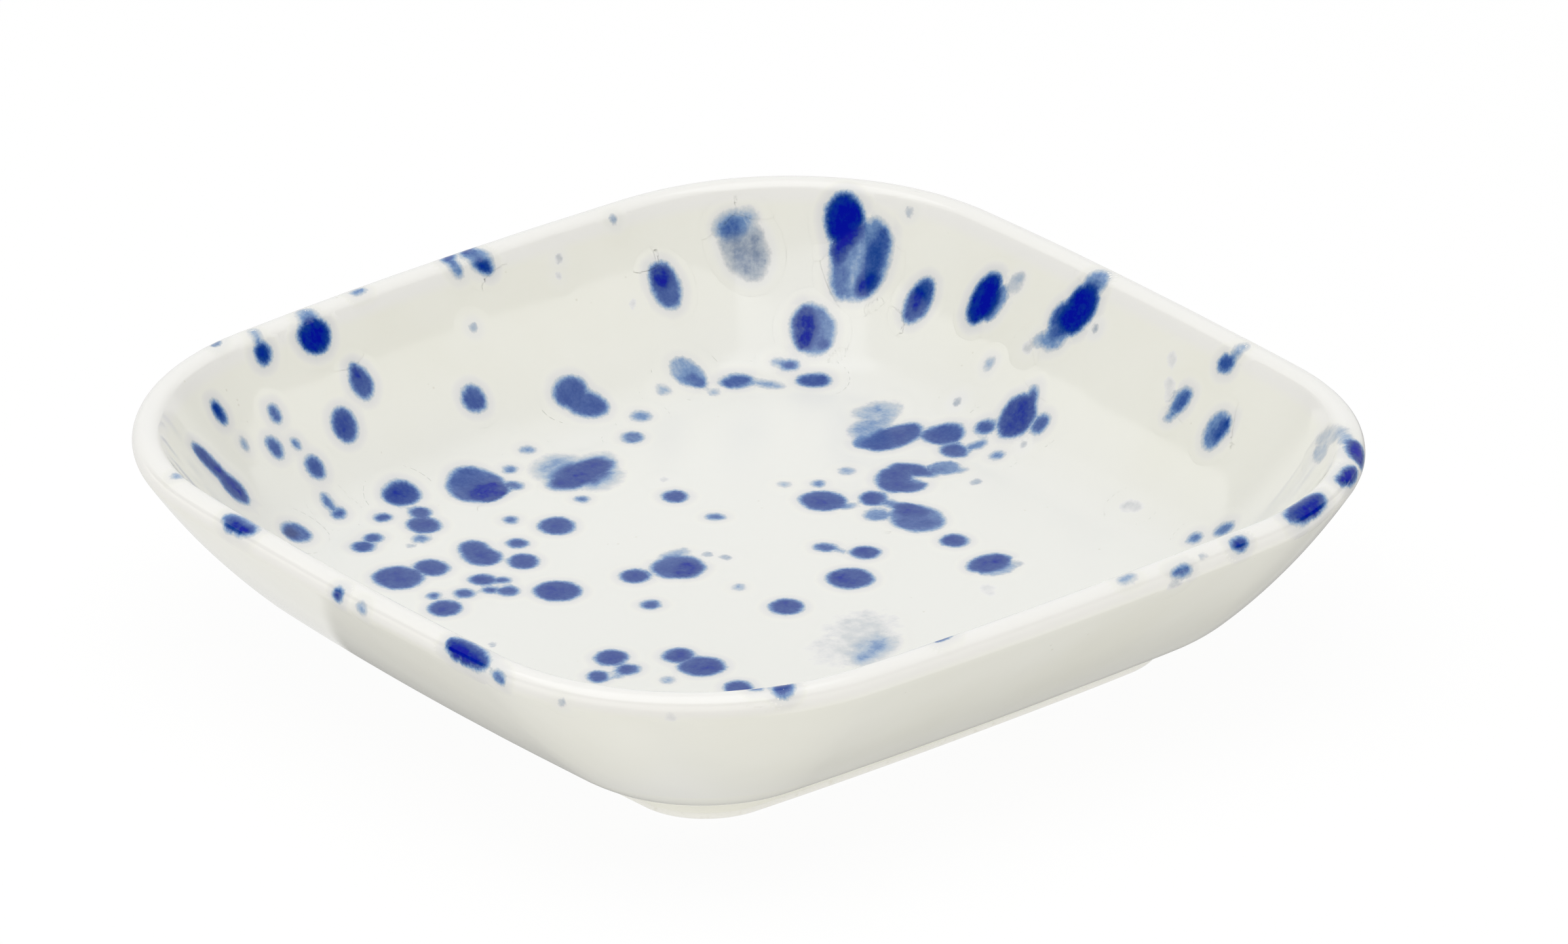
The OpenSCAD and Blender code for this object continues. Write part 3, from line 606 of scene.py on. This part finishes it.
wallDrops = [
    (-43.8, -15.4, 19.2, 1.78, 1.61, 134, 1.0), (-40.7, -12.6, 14.7, 1.52, 1.13, 179, 0.82),
    (-41.4, -12.7, 15.6, 0.65, 0.55, 6, 0.97), (-38.5, -16.2, 12.3, 1.67, 1.23, 171, 0.86),
    (-40.3, -29.1, 16.9, 1.21, 0.73, 19, 0.78), (-40.4, -29.2, 17.2, 0.64, 0.45, 19, 0.95),
    (-40.3, -22.8, 14.9, 0.86, 0.54, 8, 0.76), (-38.4, -27.7, 14.0, 0.58, 0.43, 12, 0.42),
    (-38.2, -24.4, 12.7, 1.08, 0.77, 9, 0.74), (-38.2, -22.0, 12.3, 0.5, 0.36, 10, 0.7),
    (-36.5, -21.2, 10.3, 1.16, 0.84, 3, 0.78), (-33.8, -21.8, 7.9, 0.98, 0.46, 4, 0.62),
    (-32.6, -21.6, 7.2, 0.72, 0.62, 110, 0.72), (-35.7, -33.6, 14.9, 2.49, 1.1, 47, 0.8),
    (-34.3, -32.0, 12.4, 2.0, 1.41, 48, 0.8), (-34.9, -32.2, 13.1, 2.22, 0.45, 43, 0.95),
    (-31.3, -27.4, 7.5, 1.55, 1.27, 80, 0.7), (-31.3, -28.0, 7.7, 0.87, 0.66, 98, 0.8, 0.25, 0.3),
    (-43.6, 12.6, 18.6, 0.46, 0.33, 159, 0.16, 0.25, 0.6),
    (-42.7, 11.9, 17.3, 0.26, 0.22, 104, 0.12, 0.25, 0.6), (-41.7, 1.2, 15.7, 0.44, 0.38, 170, 0.3, 0.25, 0.2),
    (-39.7, 18.2, 13.6, 0.39, 0.24, 156, 0.08, 0.25, 0.6), (-40.0, 22.2, 14.2, 2.28, 1.51, 174, 0.76),
    (-40.6, 22.1, 15.0, 1.2, 1.0, 1, 1.0), (-35.9, 7.8, 9.2, 1.87, 1.5, 102, 0.74),
    (-34.7, 8.7, 8.1, 2.12, 1.41, 56, 0.75), (-37.7, -2.0, 10.9, 1.31, 1.18, 179, 0.8),
    (-34.1, 20.1, 8.0, 1.89, 1.5, 26, 0.42, 0.35), (-33.2, 20.2, 7.4, 1.1, 0.78, 49, 0.66, 0.35),
    (-33.5, 16.8, 7.5, 0.63, 0.45, 82, 0.3), (-38.9, 30.7, 16.0, 3.32, 2.15, 161, 0.31, 0.5, 0.5),
    (-40.5, 30.4, 17.7, 1.5, 1.0, 112, 0.6, 0.85), (-40.0, 31.5, 17.9, 1.3, 0.9, 100, 0.4, 0.9),
    (-38.2, 30.5, 15.1, 1.61, 1.2, 171, 0.36, 0.5, 0.5), (-33.8, 38.7, 18.1, 2.6, 1.87, 131, 1.0),
    (-33.0, 37.3, 15.8, 1.3, 0.8, 127, 0.97, 0.4), (-30.7, 38.1, 15.1, 3.83, 2.81, 118, 0.52),
    (-29.6, 38.8, 15.3, 3.29, 1.04, 111, 0.72, 0.4), (-29.1, 37.4, 13.3, 1.16, 0.89, 103, 0.95),
    (-30.3, 40.2, 17.3, 1.86, 0.98, 140, 0.47), (-30.9, 37.6, 14.7, 2.37, 0.39, 120, -0.34),
    (-31.7, 36.3, 13.8, 2.27, 0.89, 135, 0.58), (-30.9, 32.4, 9.8, 2.57, 2.05, 145, 0.56),
    (-31.5, 31.9, 9.9, 2.31, 1.1, 135, 0.92, 0.45), (-29.3, 32.4, 8.8, 0.6, 0.54, 18, 0.78, 0.4),
    (-23.4, 39.1, 13.4, 2.26, 1.41, 97, 0.76), (-23.7, 39.2, 13.5, 1.03, 0.74, 105, 0.96),
    (-23.8, 38.3, 12.4, 0.88, 0.65, 100, 0.82), (-16.3, 41.2, 15.5, 2.6, 1.6, 91, 1.0),
    (-14.7, 41.3, 15.5, 1.95, 0.9, 89, 0.46, 0.35), (-13.6, 42.8, 17.5, 1.25, 0.78, 81, 0.2, 0.4, 0.2),
    (-4.9, 43.2, 17.8, 2.65, 1.85, 83, 1.0), (-6.5, 42.2, 16.5, 1.74, 1.2, 96, 0.72),
    (-6.2, 41.2, 15.1, 1.6, 1.18, 56, 0.46), (-7.6, 40.7, 14.5, 0.9, 0.77, 65, 0.3, 0.35),
    (-8.5, 40.0, 13.6, 0.51, 0.5, 104, 0.12, 0.35, 0.5), (-11.7, 38.0, 11.4, 0.58, 0.45, 87, 0.4),
    (-30.2, 29.0, 7.4, 0.8, 0.58, 47, 0.7), (-31.1, 28.4, 7.6, 0.51, 0.39, 51, 0.42),
    (-31.5, 23.8, 6.9, 1.58, 0.9, 70, 0.76), (-27.2, 29.5, 6.8, 1.55, 0.95, 41, 0.8),
    (-2.0, 42.8, 17.1, 0.4, 0.34, 83, 0.34, 0.25, 0.5), (-5.1, 35.9, 9.1, 2.32, 2.02, 95, 0.9),
    (-4.7, 37.5, 10.7, 1.11, 0.55, 114, 0.66), (-5.1, 36.9, 10.1, 1.34, 0.84, 11, 0.86),
    (-2.1, 36.2, 9.3, 1.01, 0.86, 82, 0.74), (-7.6, 34.1, 7.7, 1.03, 0.84, 24, 0.78),
    (-6.5, 32.2, 6.8, 0.94, 0.64, 59, 0.52), (-3.6, 32.2, 6.8, 0.61, 0.54, 14, 0.56),
    (-2.3, 34.3, 7.8, 0.37, 0.32, 94, 0.2, 0.25, 0.5), (-12.6, 34.8, 8.3, 0.43, 0.36, 82, 0.24, 0.25, 0.5),
    (-32.4, -14.5, 7.0, 1.86, 1.57, 92, 0.88), (-32.5, 0.1, 6.9, 0.68, 0.44, 72, 0.5),
    (15.2, 44.1, 19.2, 1.08, 0.87, 42, 0.76), (12.1, 41.3, 15.2, 1.37, 0.9, 82, 0.68),
    (11.8, 40.3, 14.0, 0.61, 0.47, 61, 0.48), (17.8, 40.6, 14.5, 1.85, 1.27, 90, 0.54),
    (18.6, 40.8, 14.8, 1.3, 0.55, 89, 0.84), (23.0, 33.8, 7.7, 0.72, 0.55, 23, 0.62),
    (25.6, 35.1, 9.1, 1.21, 0.63, 37, 0.56), (13.9, 33.8, 7.5, 1.03, 0.55, 18, 0.08, 0.5, 0.5),
    (8.7, 43.0, 17.5, 0.79, 0.46, 118, 0.06, 0.4, 0.5), (10.0, 41.6, 15.6, 1.12, 0.54, 117, 0.06, 0.4, 0.5),
    (33.9, 39.6, 18.4, 1.77, 0.99, 178, 0.26, 0.4, 0.2), (47.4, 11.5, 19.1, 0.83, 0.41, 128, 0.1, 0.4, 0.5),
    (37.5, 2.4, 10.7, 1.3, 1.05, 85, 0.8), (40.9, 12.4, 14.7, 1.3, 1.15, 80, 0.84),
    (38.5, 23.8, 12.3, 0.9, 0.85, 95, 0.72), (35.6, 17.1, 8.9, 1.0, 0.9, 70, 0.8),
    (35.2, -9.5, 8.5, 2.6, 2.0, 60, 0.76), (39.9, -21.9, 14.1, 1.7, 1.6, 125, 0.88),
    (38.0, -14.7, 11.5, 0.6, 0.5, 120, 0.5), (15.2, -41.3, 15.5, 2.4, 1.8, 20, 0.97),
    (23.8, -38.5, 12.7, 1.8, 1.6, 55, 0.8), (-12.4, -40.9, 15.0, 1.3, 0.85, 35, 0.72),
    (-19.0, -40.4, 14.7, 1.5, 1.25, 140, 0.85), (3.8, -36.1, 9.3, 2.5, 1.9, 30, 0.78),
    (-3.8, -38.0, 11.3, 0.7, 0.55, 60, 0.5), (-26.1, -36.1, 10.9, 1.5, 1.1, 20, 0.75),
]
rimDrops = [
    (-43.6, -21.5, 19.3, 1.02, 0.87, 173, 0.92), (-44.6, -21.4, 20.7, 1.03, 0.47, 173, 0.38),
    (-44.8, -15.3, 20.6, 1.27, 1.04, 172, 0.43), (-13.5, -46.4, 20.9, 2.33, 0.94, 1, 0.66),
    (-13.2, -46.7, 20.7, 1.54, 0.51, 3, 0.98), (-25.1, -44.8, 21.0, 0.59, 0.41, 128, 0.5),
    (-45.8, -8.9, 21.0, 0.7, 0.34, 98, 0.62), (-45.2, -25.5, 21.0, 0.76, 0.38, 120, 0.5, 0.25, 0.2),
    (-45.0, 1.8, 20.5, 1.02, 0.57, 5, 0.48), (-46.2, 1.9, 21.0, 1.02, 0.61, 133, 0.72),
    (-45.0, 4.6, 20.4, 1.37, 1.12, 4, 0.48), (-44.5, 4.8, 19.8, 0.77, 0.64, 36, 0.95),
    (-46.2, 4.2, 21.0, 1.11, 0.68, 130, 0.78), (-44.3, 19.7, 20.2, 0.52, 0.34, 170, 0.32, 0.25, 0.2),
    (-4.4, 44.8, 20.2, 1.52, 1.23, 70, 0.48), (-28.8, 42.4, 19.5, 0.45, 0.4, 133, 0.26, 0.25, 0.3),
    (42.5, -32.1, 21.0, 0.55, 0.35, 52, 0.8), (15.9, 44.9, 20.5, 1.18, 0.64, 76, 0.28),
    (46.9, 19.2, 20.5, 0.88, 0.62, 87, 0.94), (47.3, 12.2, 20.1, 1.11, 0.49, 88, 0.69),
    (46.9, 15.0, 20.6, 0.42, 0.29, 86, 0.2, 0.25, 0.3), (46.5, 6.6, 21.0, 0.99, 0.45, 91, 0.34),
    (45.5, 28.1, 20.9, 2.87, 1.14, 107, 0.9), (46.0, 28.2, 20.5, 2.06, 0.56, 104, 1.0),
    (42.6, 35.7, 20.6, 1.7, 0.71, 119, 1.0), (43.2, 34.3, 20.8, 0.9, 0.56, 120, 0.95),
    (39.6, 39.1, 20.8, 2.05, 1.01, 151, 1.0), (37.2, 39.7, 21.0, 1.58, 0.68, 157, 0.28, 0.4),
    (34.0, 40.6, 19.8, 2.71, 0.98, 21, 0.22, 0.5, 0.2), (2.3, -47.4, 20.1, 0.65, 0.56, 50, 0.88),
    (5.8, -47.4, 20.0, 0.64, 0.46, 134, 0.45), (20.1, -46.4, 20.7, 2.82, 1.06, 177, 0.88),
    (19.7, -46.7, 20.5, 2.3, 0.62, 179, 1.0), (24.6, -46.6, 20.1, 0.72, 0.4, 143, 0.8),
    (31.3, -44.8, 19.5, 0.44, 0.34, 115, 0.22, 0.25, 0.2), (43.9, -30.1, 21.0, 1.09, 0.93, 119, 0.82),
    (45.4, -13.4, 20.9, 1.04, 0.42, 97, 0.66, 0.25, 0.1), (39.5, -39.2, 19.4, 0.35, 0.33, 148, 0.06, 0.4, 0.5),
    # uneven edges of the three largest
    (21.2, -47.0, 20.4, 0.7, 0.5, 0, 0.7, 0.4), (20.2, -47.1, 20.3, 0.8, 0.5, 0, 0.9, 0.35),
    (18.9, -47.1, 20.3, 0.75, 0.5, 0, 0.86, 0.4), (17.6, -46.4, 20.7, 0.55, 0.5, 140, 0.9, 0.35),
    (-14.4, -46.7, 20.6, 0.95, 0.75, 0, 0.72, 0.4), (46.4, 27.0, 20.5, 0.75, 0.5, 90, 0.9, 0.4),
    (46.3, 28.5, 20.5, 0.7, 0.5, 95, 0.74, 0.35),
]
spatter = {
    "segments": 24, "rings": 16,
    "bigSegments": 52, "bigRings": 32,
    "bigFrom": 2.0,  # half length of a drop from which it gets the finer mesh, in millimetres
    "flat": 0.0001,  # half thickness of a lens before it is laid, in millimetres
    "dome": 0.010,  # height of a drop as a share of its half breadth
    "sink": 0.004,  # depth of its edge under the glaze, in millimetres
    "sinkSpan": (0.7, 1.0),  # shares of the way out over which it sinks
    "under": 0.03,
    "strides": 4,
    "margin": 1.9,  # clear glaze round the blue on each lens
    "waver": 0.55, "waverScale": 620.0, "waverDetail": 2.0,
    "soft": 0.52, "grey": 0.0,
    "far": 9.0,  # a point this deep inside or outside, in millimetres, counts as far
    "skinFine": 3,  # how much finer the glaze is that the drops are laid on
    "seed": 5.0,
}


# lens-shaped drops laid on the glaze; the start mesh has a vertex for each drop
def spatterTree():
    tree, given = newTree("blueSpatter", {
        "Object": ["Glaze"], "Material": ["Material"], "Int": ["Segments", "Rings", "Big Segments", "Big Rings"],
        "Float": ["Big From", "Dome", "Sink", "Under", "Waver", "Waver Scale", "Seed"]})
    m = lambda *args, **kw: calc(tree, *args, **kw)
    read = lambda name, kind="FLOAT": add(tree, "GeometryNodeInputNamedAttribute", {"Name": name},
                                          data_type=kind).outputs["Attribute"]
    keep = lambda geometry, name, value: add(
        tree, "GeometryNodeStoreNamedAttribute", {"Geometry": geometry, "Name": name, "Value": value},
        data_type="FLOAT_VECTOR", domain="POINT").outputs[0]
    skin = add(tree, "GeometryNodeObjectInfo", {"Object": given["Glaze"]}).outputs["Geometry"]
    here = tree.nodes.new("GeometryNodeInputPosition").outputs[0]
    normal = tree.nodes.new("GeometryNodeInputNormal").outputs[0]
    axes = add(tree, "FunctionNodeAxesToRotation", {"Primary Axis": read("dropUp", "FLOAT_VECTOR"),
                                                    "Secondary Axis": read("dropWay", "FLOAT_VECTOR")},
               primary_axis="Z", secondary_axis="X").outputs[0]
    size = xyz(tree, read("dropLength"), read("dropBreadth"), spatter["flat"] * mm)
    isBig = m("GREATER_THAN", read("dropLength"), given["Big From"])
    points = keep(given["Geometry"], "dropSpot", here)
    both = tree.nodes.new("GeometryNodeJoinGeometry")
    for segments, rings, chosen in (("Segments", "Rings", m("SUBTRACT", 1.0, isBig)),
                                    ("Big Segments", "Big Rings", isBig)):
        ball = add(tree, "GeometryNodeMeshUVSphere", {"Segments": given[segments], "Rings": given[rings],
                                                      "Radius": 1.0}).outputs["Mesh"]
        placed = add(tree, "GeometryNodeInstanceOnPoints", {
            "Points": points, "Selection": chosen, "Instance": keep(ball, "lensPlace", here),
            "Rotation": axes, "Scale": size}).outputs[0]
        tree.links.new(placed, both.inputs[0])
    laid = add(tree, "GeometryNodeRealizeInstances", {"Geometry": both.outputs[0]}).outputs[0]
    # walked out over the glaze from each drop's middle, a few steps at a time, so that it bends round the lip
    side = add(tree, "ShaderNodeSeparateXYZ", {"Vector": read("lensPlace", "FLOAT_VECTOR")}).outputs
    radius = vec(tree, "LENGTH", xyz(tree, side["X"], side["Y"], 0.0))
    nearest = lambda value, spot: add(tree, "GeometryNodeSampleNearestSurface",
                                      {"Mesh": skin, "Sample Position": spot, "Value": value},
                                      data_type="FLOAT_VECTOR").outputs["Value"]
    foot, out = read("dropSpot", "FLOAT_VECTOR"), read("dropUp", "FLOAT_VECTOR")
    stride = vec(tree, "SCALE", vec(tree, "SUBTRACT", here, foot), scale=1.0 / spatter["strides"])
    length = vec(tree, "LENGTH", stride)
    for i in range(spatter["strides"]):
        spot = vec(tree, "ADD", foot, stride)
        foot, out = nearest(here, spot), nearest(normal, spot)
        outward = vec(tree, "SCALE", out, scale=vec(tree, "DOT_PRODUCT", stride, out))
        onward = vec(tree, "NORMALIZE", vec(tree, "SUBTRACT", stride, outward))
        stride = vec(tree, "SCALE", onward, scale=length)
    # where the blue is read from: the same spot, moved a little so that outlines come out uneven
    waver = wander(tree, foot, given["Waver Scale"], spatter["waverDetail"], given["Seed"], given["Waver"])
    laid = keep(laid, "inkPlace", vec(tree, "ADD", foot, waver))
    # low dome that dips under the glaze at its edge, closed below
    rise = m("MULTIPLY", m("MULTIPLY", given["Dome"], read("dropBreadth")),
             m("SUBTRACT", 1.0, m("MULTIPLY", radius, radius)))
    top = m("SUBTRACT", rise, m("MULTIPLY", given["Sink"], band(tree, radius, *spatter["sinkSpan"])))
    low = m("SUBTRACT", m("MULTIPLY", rise, -1.0), given["Under"])
    isLow = m("LESS_THAN", side["Z"], -0.001)  # the ball's middle ring counts as top
    height = m("MULTIPLY_ADD", m("SUBTRACT", low, top), isLow, top)
    done = add(tree, "GeometryNodeSetPosition", {
        "Geometry": laid, "Position": vec(tree, "ADD", foot, vec(tree, "SCALE", out, scale=height))}).outputs[0]
    endTree(tree, done, given["Material"])
    return tree


blueSpatter = spatterTree()
fine = spatter["skinFine"]
skin = sweep("fineSkin", coatSection(fine), glaze, fine * dish["around"])
bpy.context.view_layer.update()


# a drop's middle on the glaze, the way out of it, the two ways along it, its sizes and its blue
def settle(drop):
    x, y, z, length, breadth, turn, tone = drop[:7]
    soft = drop[7] if len(drop) > 7 else spatter["soft"]
    grey = drop[8] if len(drop) > 8 else spatter["grey"]
    spot, out = skin.closest_point_on_mesh(Vector((x, y, z)) * mm)[1:3]
    way = Vector((math.cos(math.radians(turn)), math.sin(math.radians(turn)), 0.0))
    way = (way - out * way.dot(out)).normalized()
    return {"spot": spot, "out": out, "way": way, "cross": out.cross(way),
            "length": length, "breadth": breadth, "tone": tone, "soft": soft, "grey": grey}


def smooth(value):
    value = np.clip(value, 0.0, 1.0)
    return value * value * (3.0 - 2.0 * value)


# writes the blue of all drops on a piece, the deeper over the paler, then the pale streaks (tone below zero)
def paintBlue(piece, drops):
    points = piece.data.attributes["inkPlace"].data
    place = np.empty(3 * len(points), dtype=np.float32)
    points.foreach_get("vector", place)
    place = place.reshape(-1, 3)
    edge, soft = np.full(len(place), -spatter["far"]), np.full(len(place), spatter["soft"])
    tone, grey = np.zeros(len(place)), np.zeros(len(place))
    tiny = 1e-6  # keeps what is divided by off zero
    ordered = sorted(drops, key=lambda drop: (drop["tone"] < 0, abs(drop["tone"])))
    depths = []
    for drop in ordered:
        away = (place - np.array(drop["spot"])) / mm
        u, v, w = (away @ np.array(drop[name]) for name in ("way", "cross", "out"))
        level = np.hypot(u, v) + tiny
        bend = np.sqrt(level * level + w * w) / level  # the way round a bend is longer than from above
        u, v = u * bend / drop["length"], v * bend / drop["breadth"]
        reach = np.hypot(u, v) + tiny
        slope = np.sqrt((u / drop["length"]) ** 2 + (v / drop["breadth"]) ** 2) / reach + tiny
        depth = np.minimum((1.0 - reach) / np.maximum(slope, 1.0 / drop["length"]), spatter["far"])
        depths.append(depth)
        deeper = (depth > edge) & (drop["tone"] > 0)
        edge = np.where(deeper, depth, edge)
        tone, soft, grey = (np.where(deeper, abs(drop[name]), kept)
                            for name, kept in (("tone", tone), ("soft", soft), ("grey", grey)))
    for drop, depth in zip(ordered, depths):
        share = smooth(0.5 + 0.5 * depth / drop["soft"])
        tone = tone + (abs(drop["tone"]) - tone) * share
        grey = grey + (drop["grey"] - grey) * share
    for label, values in (("inkEdge", edge), ("inkTone", tone), ("inkSoft", soft), ("inkGrey", grey)):
        piece.data.attributes.new(label, "FLOAT", "POINT").data.foreach_set("value", values.astype(np.float32))
    for label in ("inkPlace", "lensPlace", "dropSpot", "dropUp", "dropWay", "dropLength", "dropBreadth"):
        if label in piece.data.attributes:
            piece.data.attributes.remove(piece.data.attributes[label])


def sprinkle(name, drops):
    start = bpy.data.meshes.new(name + "Points")
    start.from_pydata([drop["spot"] for drop in drops], [], [])
    for label, part in (("dropLength", "length"), ("dropBreadth", "breadth")):
        sizes = [(drop[part] + spatter["margin"]) * mm for drop in drops]
        start.attributes.new(label, "FLOAT", "POINT").data.foreach_set("value", sizes)
    for label, part in (("dropUp", "out"), ("dropWay", "way")):
        ways = [number for drop in drops for number in drop[part]]
        start.attributes.new(label, "FLOAT_VECTOR", "POINT").data.foreach_set("vector", ways)
    return bake(name, start, blueSpatter, {
        "Glaze": skin, "Segments": spatter["segments"], "Rings": spatter["rings"],
        "Big Segments": spatter["bigSegments"], "Big Rings": spatter["bigRings"],
        "Big From": (spatter["bigFrom"] + spatter["margin"]) * mm,
        "Dome": spatter["dome"], "Sink": spatter["sink"] * mm, "Under": spatter["under"] * mm,
        "Waver": spatter["waver"] * mm, "Waver Scale": spatter["waverScale"], "Seed": spatter["seed"],
        "Material": cobalt})


settled = [[settle(drop) for drop in drops] for drops in (floorDrops, wallDrops, rimDrops)]
floorSpatter = sprinkle("floorSpatter", settled[0])
wallSpatter = sprinkle("wallSpatter", settled[1])
rimSpatter = sprinkle("rimSpatter", settled[2])
bpy.data.objects.remove(skin)
for piece in (floorSpatter, wallSpatter, rimSpatter):
    paintBlue(piece, settled[0] + settled[1] + settled[2])
print("blue painted")
finishPiece(floorSpatter, "cobalt", "floor_spatter")
finishPiece(wallSpatter, "cobalt", "wall_spatter")
finishPiece(rimSpatter, "cobalt", "rim_spatter")

# camera, as far round, up and away as the photograph's
view = {
    "azimuth": 52.128, "elevation": 25.568, "roll": -1.1787, "distance": 1.5156,
    "focal": 25657.0, "imageWidth": 2393.0, "imageHeight": 1440.0,
    "target": (0.0, 0.0, 0.021), "targetPixel": (1133.0, 651.57), "sensor": 36.0, "clip": (0.05, 20.0),
}
azimuth, elevation, roll = (math.radians(view[name]) for name in ("azimuth", "elevation", "roll"))
back = Vector((math.sin(azimuth) * math.cos(elevation), -math.cos(azimuth) * math.cos(elevation),
               math.sin(elevation)))
right = Vector((math.cos(azimuth), math.sin(azimuth), 0.0))
up = back.cross(right)
right, up = right * math.cos(roll) + up * math.sin(roll), up * math.cos(roll) - right * math.sin(roll)
perPixel = view["distance"] / view["focal"]
place = (Vector(view["target"]) + back * view["distance"]
         + right * (view["imageWidth"] / 2 - view["targetPixel"][0]) * perPixel
         - up * (view["imageHeight"] / 2 - view["targetPixel"][1]) * perPixel)
lensData = bpy.data.cameras.new("camera")
lensData.sensor_fit = "HORIZONTAL"
lensData.sensor_width = view["sensor"]
lensData.lens = view["focal"] * view["sensor"] / view["imageWidth"]
lensData.clip_start, lensData.clip_end = view["clip"]
camera = newObject("camera", lensData)
camera.matrix_world = Matrix.Translation(place) @ Matrix((right, up, back)).transposed().to_4x4()
scene.camera = camera

# studio: a soft light overhead, a pale surround with a darker belt round the camera's side, and a white table
# with a painted shadow under the dish, seen in the glaze's gloss; each zone of the surround has the heights it
# runs between (as sines, tipped towards the camera) and a colour
studio = {
    "lampSize": (0.70, 0.66), "lampHeight": 0.6, "lampAhead": 0.10, "lampLeft": 0.12, "lampPower": 1.65,
    "lampColour": (0.97, 0.99, 1.045),
    "backWall": (0.82, 0.82, 0.81),
    "zones": [(-2.0, 0.28, (1.22, 1.19, 1.11)), (0.28, 0.55, (0.03, 0.03, 0.028)),
              (0.55, 2.0, (1.08, 1.08, 1.06))],
    "zoneTilt": 0.30, "zoneLean": 0.035, "zoneSide": (-0.75, -0.55), "zoneEdge": 0.02,
    "floorColour": (0.93, 0.93, 0.92), "floorSize": 3.0, "floorWhite": 0.92, "floorGlow": 0.85,
    # painted shadow and light on the table, seen only in the glaze's gloss:
    "glossFloorLevel": 0.78, "glossShadowSteps": [(-22.0, -19.0, -0.46), (30.0, 36.0, -0.22)],
    "glossLightOut": (49.0, 55.0, 0.88), "glossLightSide": (-36.0, -26.0),
}
lampData = bpy.data.lights.new("softbox", "AREA")
lampData.shape = "RECTANGLE"
lampData.size, lampData.size_y = studio["lampSize"]
lampData.color = studio["lampColour"]
lampData.energy = studio["lampPower"]
lamp = newObject("softbox", lampData)
ahead = Vector((back.x, back.y, 0.0)).normalized()  # level, towards the camera
aside = Vector((ahead.y, -ahead.x, 0.0))  # level, to the camera's left
lamp.location = (ahead * studio["lampAhead"] + aside * studio["lampLeft"]
                 + Vector((0, 0, studio["lampHeight"])))
lamp.rotation_euler = (0.0, 0.0, azimuth)

world = bpy.data.worlds.new("surround")
scene.world = world
tree = emptyTree(world)
way = tree.nodes.new("ShaderNodeTexCoord").outputs["Generated"]
rise = add(tree, "ShaderNodeSeparateXYZ", {"Vector": way}).outputs["Z"]
level = vec(tree, "NORMALIZE", vec(tree, "MULTIPLY", way, (1.0, 1.0, 0.0)))
facing = vec(tree, "DOT_PRODUCT", level, tuple(ahead))
rightward = vec(tree, "DOT_PRODUCT", level, (-ahead.y, ahead.x, 0.0))
tipped = m("MULTIPLY_ADD", facing, -studio["zoneTilt"], rise)
tipped = m("MULTIPLY_ADD", rightward, studio["zoneLean"], tipped)
near = band(tree, facing, *studio["zoneSide"])
tint = studio["backWall"]
for low, high, colour in studio["zones"]:
    cover = m("MULTIPLY", band(tree, tipped, low, low + studio["zoneEdge"]),
              band(tree, tipped, high + studio["zoneEdge"], high))
    tint = blend(tree, m("MULTIPLY", cover, near), tint, colour)
plainWhite = (1, 1, 1, 1)
around = add(tree, "ShaderNodeBackground", {"Color": tint}).outputs[0]
whiteBack = add(tree, "ShaderNodeBackground", {"Color": plainWhite}).outputs[0]
seen = tree.nodes.new("ShaderNodeLightPath").outputs["Is Camera Ray"]
tree.links.new(mixShaders(tree, seen, around, whiteBack), tree.nodes.new("ShaderNodeOutputWorld").inputs[0])

floorMaterial = bpy.data.materials.new("paleFloor")
tree = emptyTree(floorMaterial)
matt = add(tree, "ShaderNodeBsdfDiffuse", {"Color": (*studio["floorColour"], 1)}).outputs[0]
path = tree.nodes.new("ShaderNodeLightPath").outputs
direct = m("MAXIMUM", path["Is Camera Ray"], path["Is Transmission Ray"])
share = m("MULTIPLY_ADD", direct, studio["floorWhite"] - studio["floorGlow"], studio["floorGlow"])
# painted shadow and light on the table, seen only in the glaze's gloss: it is darker under the dish's rim, and
# paler on the back left and beyond the rim
where = tree.nodes.new("ShaderNodeTexCoord").outputs["Object"]
where = add(tree, "ShaderNodeSeparateXYZ", {"Vector": where}).outputs
glossShadowAndLight = studio["glossFloorLevel"]
for low, high, change in studio["glossShadowSteps"]:
    glossShadowAndLight = m("ADD", glossShadowAndLight, band(tree, where["X"], low * mm, high * mm, 0.0, change))
low, high, change = studio["glossLightOut"]
beyond = band(tree, where["Y"], *(edge * mm for edge in studio["glossLightSide"]), 0.0, change)
glossShadowAndLight = m("MULTIPLY_ADD", band(tree, where["X"], low * mm, high * mm), beyond, glossShadowAndLight)
bright = m("MULTIPLY_ADD", path["Is Glossy Ray"], m("SUBTRACT", glossShadowAndLight, 1.0), 1.0)
glow = add(tree, "ShaderNodeEmission", {"Color": plainWhite, "Strength": bright}).outputs[0]
tree.links.new(mixShaders(tree, share, matt, glow), tree.nodes.new("ShaderNodeOutputMaterial").inputs[0])
reach = studio["floorSize"] / 2
floorMesh = bpy.data.meshes.new("floor")
floorMesh.from_pydata([(-reach, -reach, 0), (reach, -reach, 0), (reach, reach, 0), (-reach, reach, 0)], [],
                      [(0, 1, 2, 3)])
floorMesh.materials.append(floorMaterial)
floor = newObject("floor", floorMesh)
scene.view_settings.view_transform = "Standard"
print("studio ready")
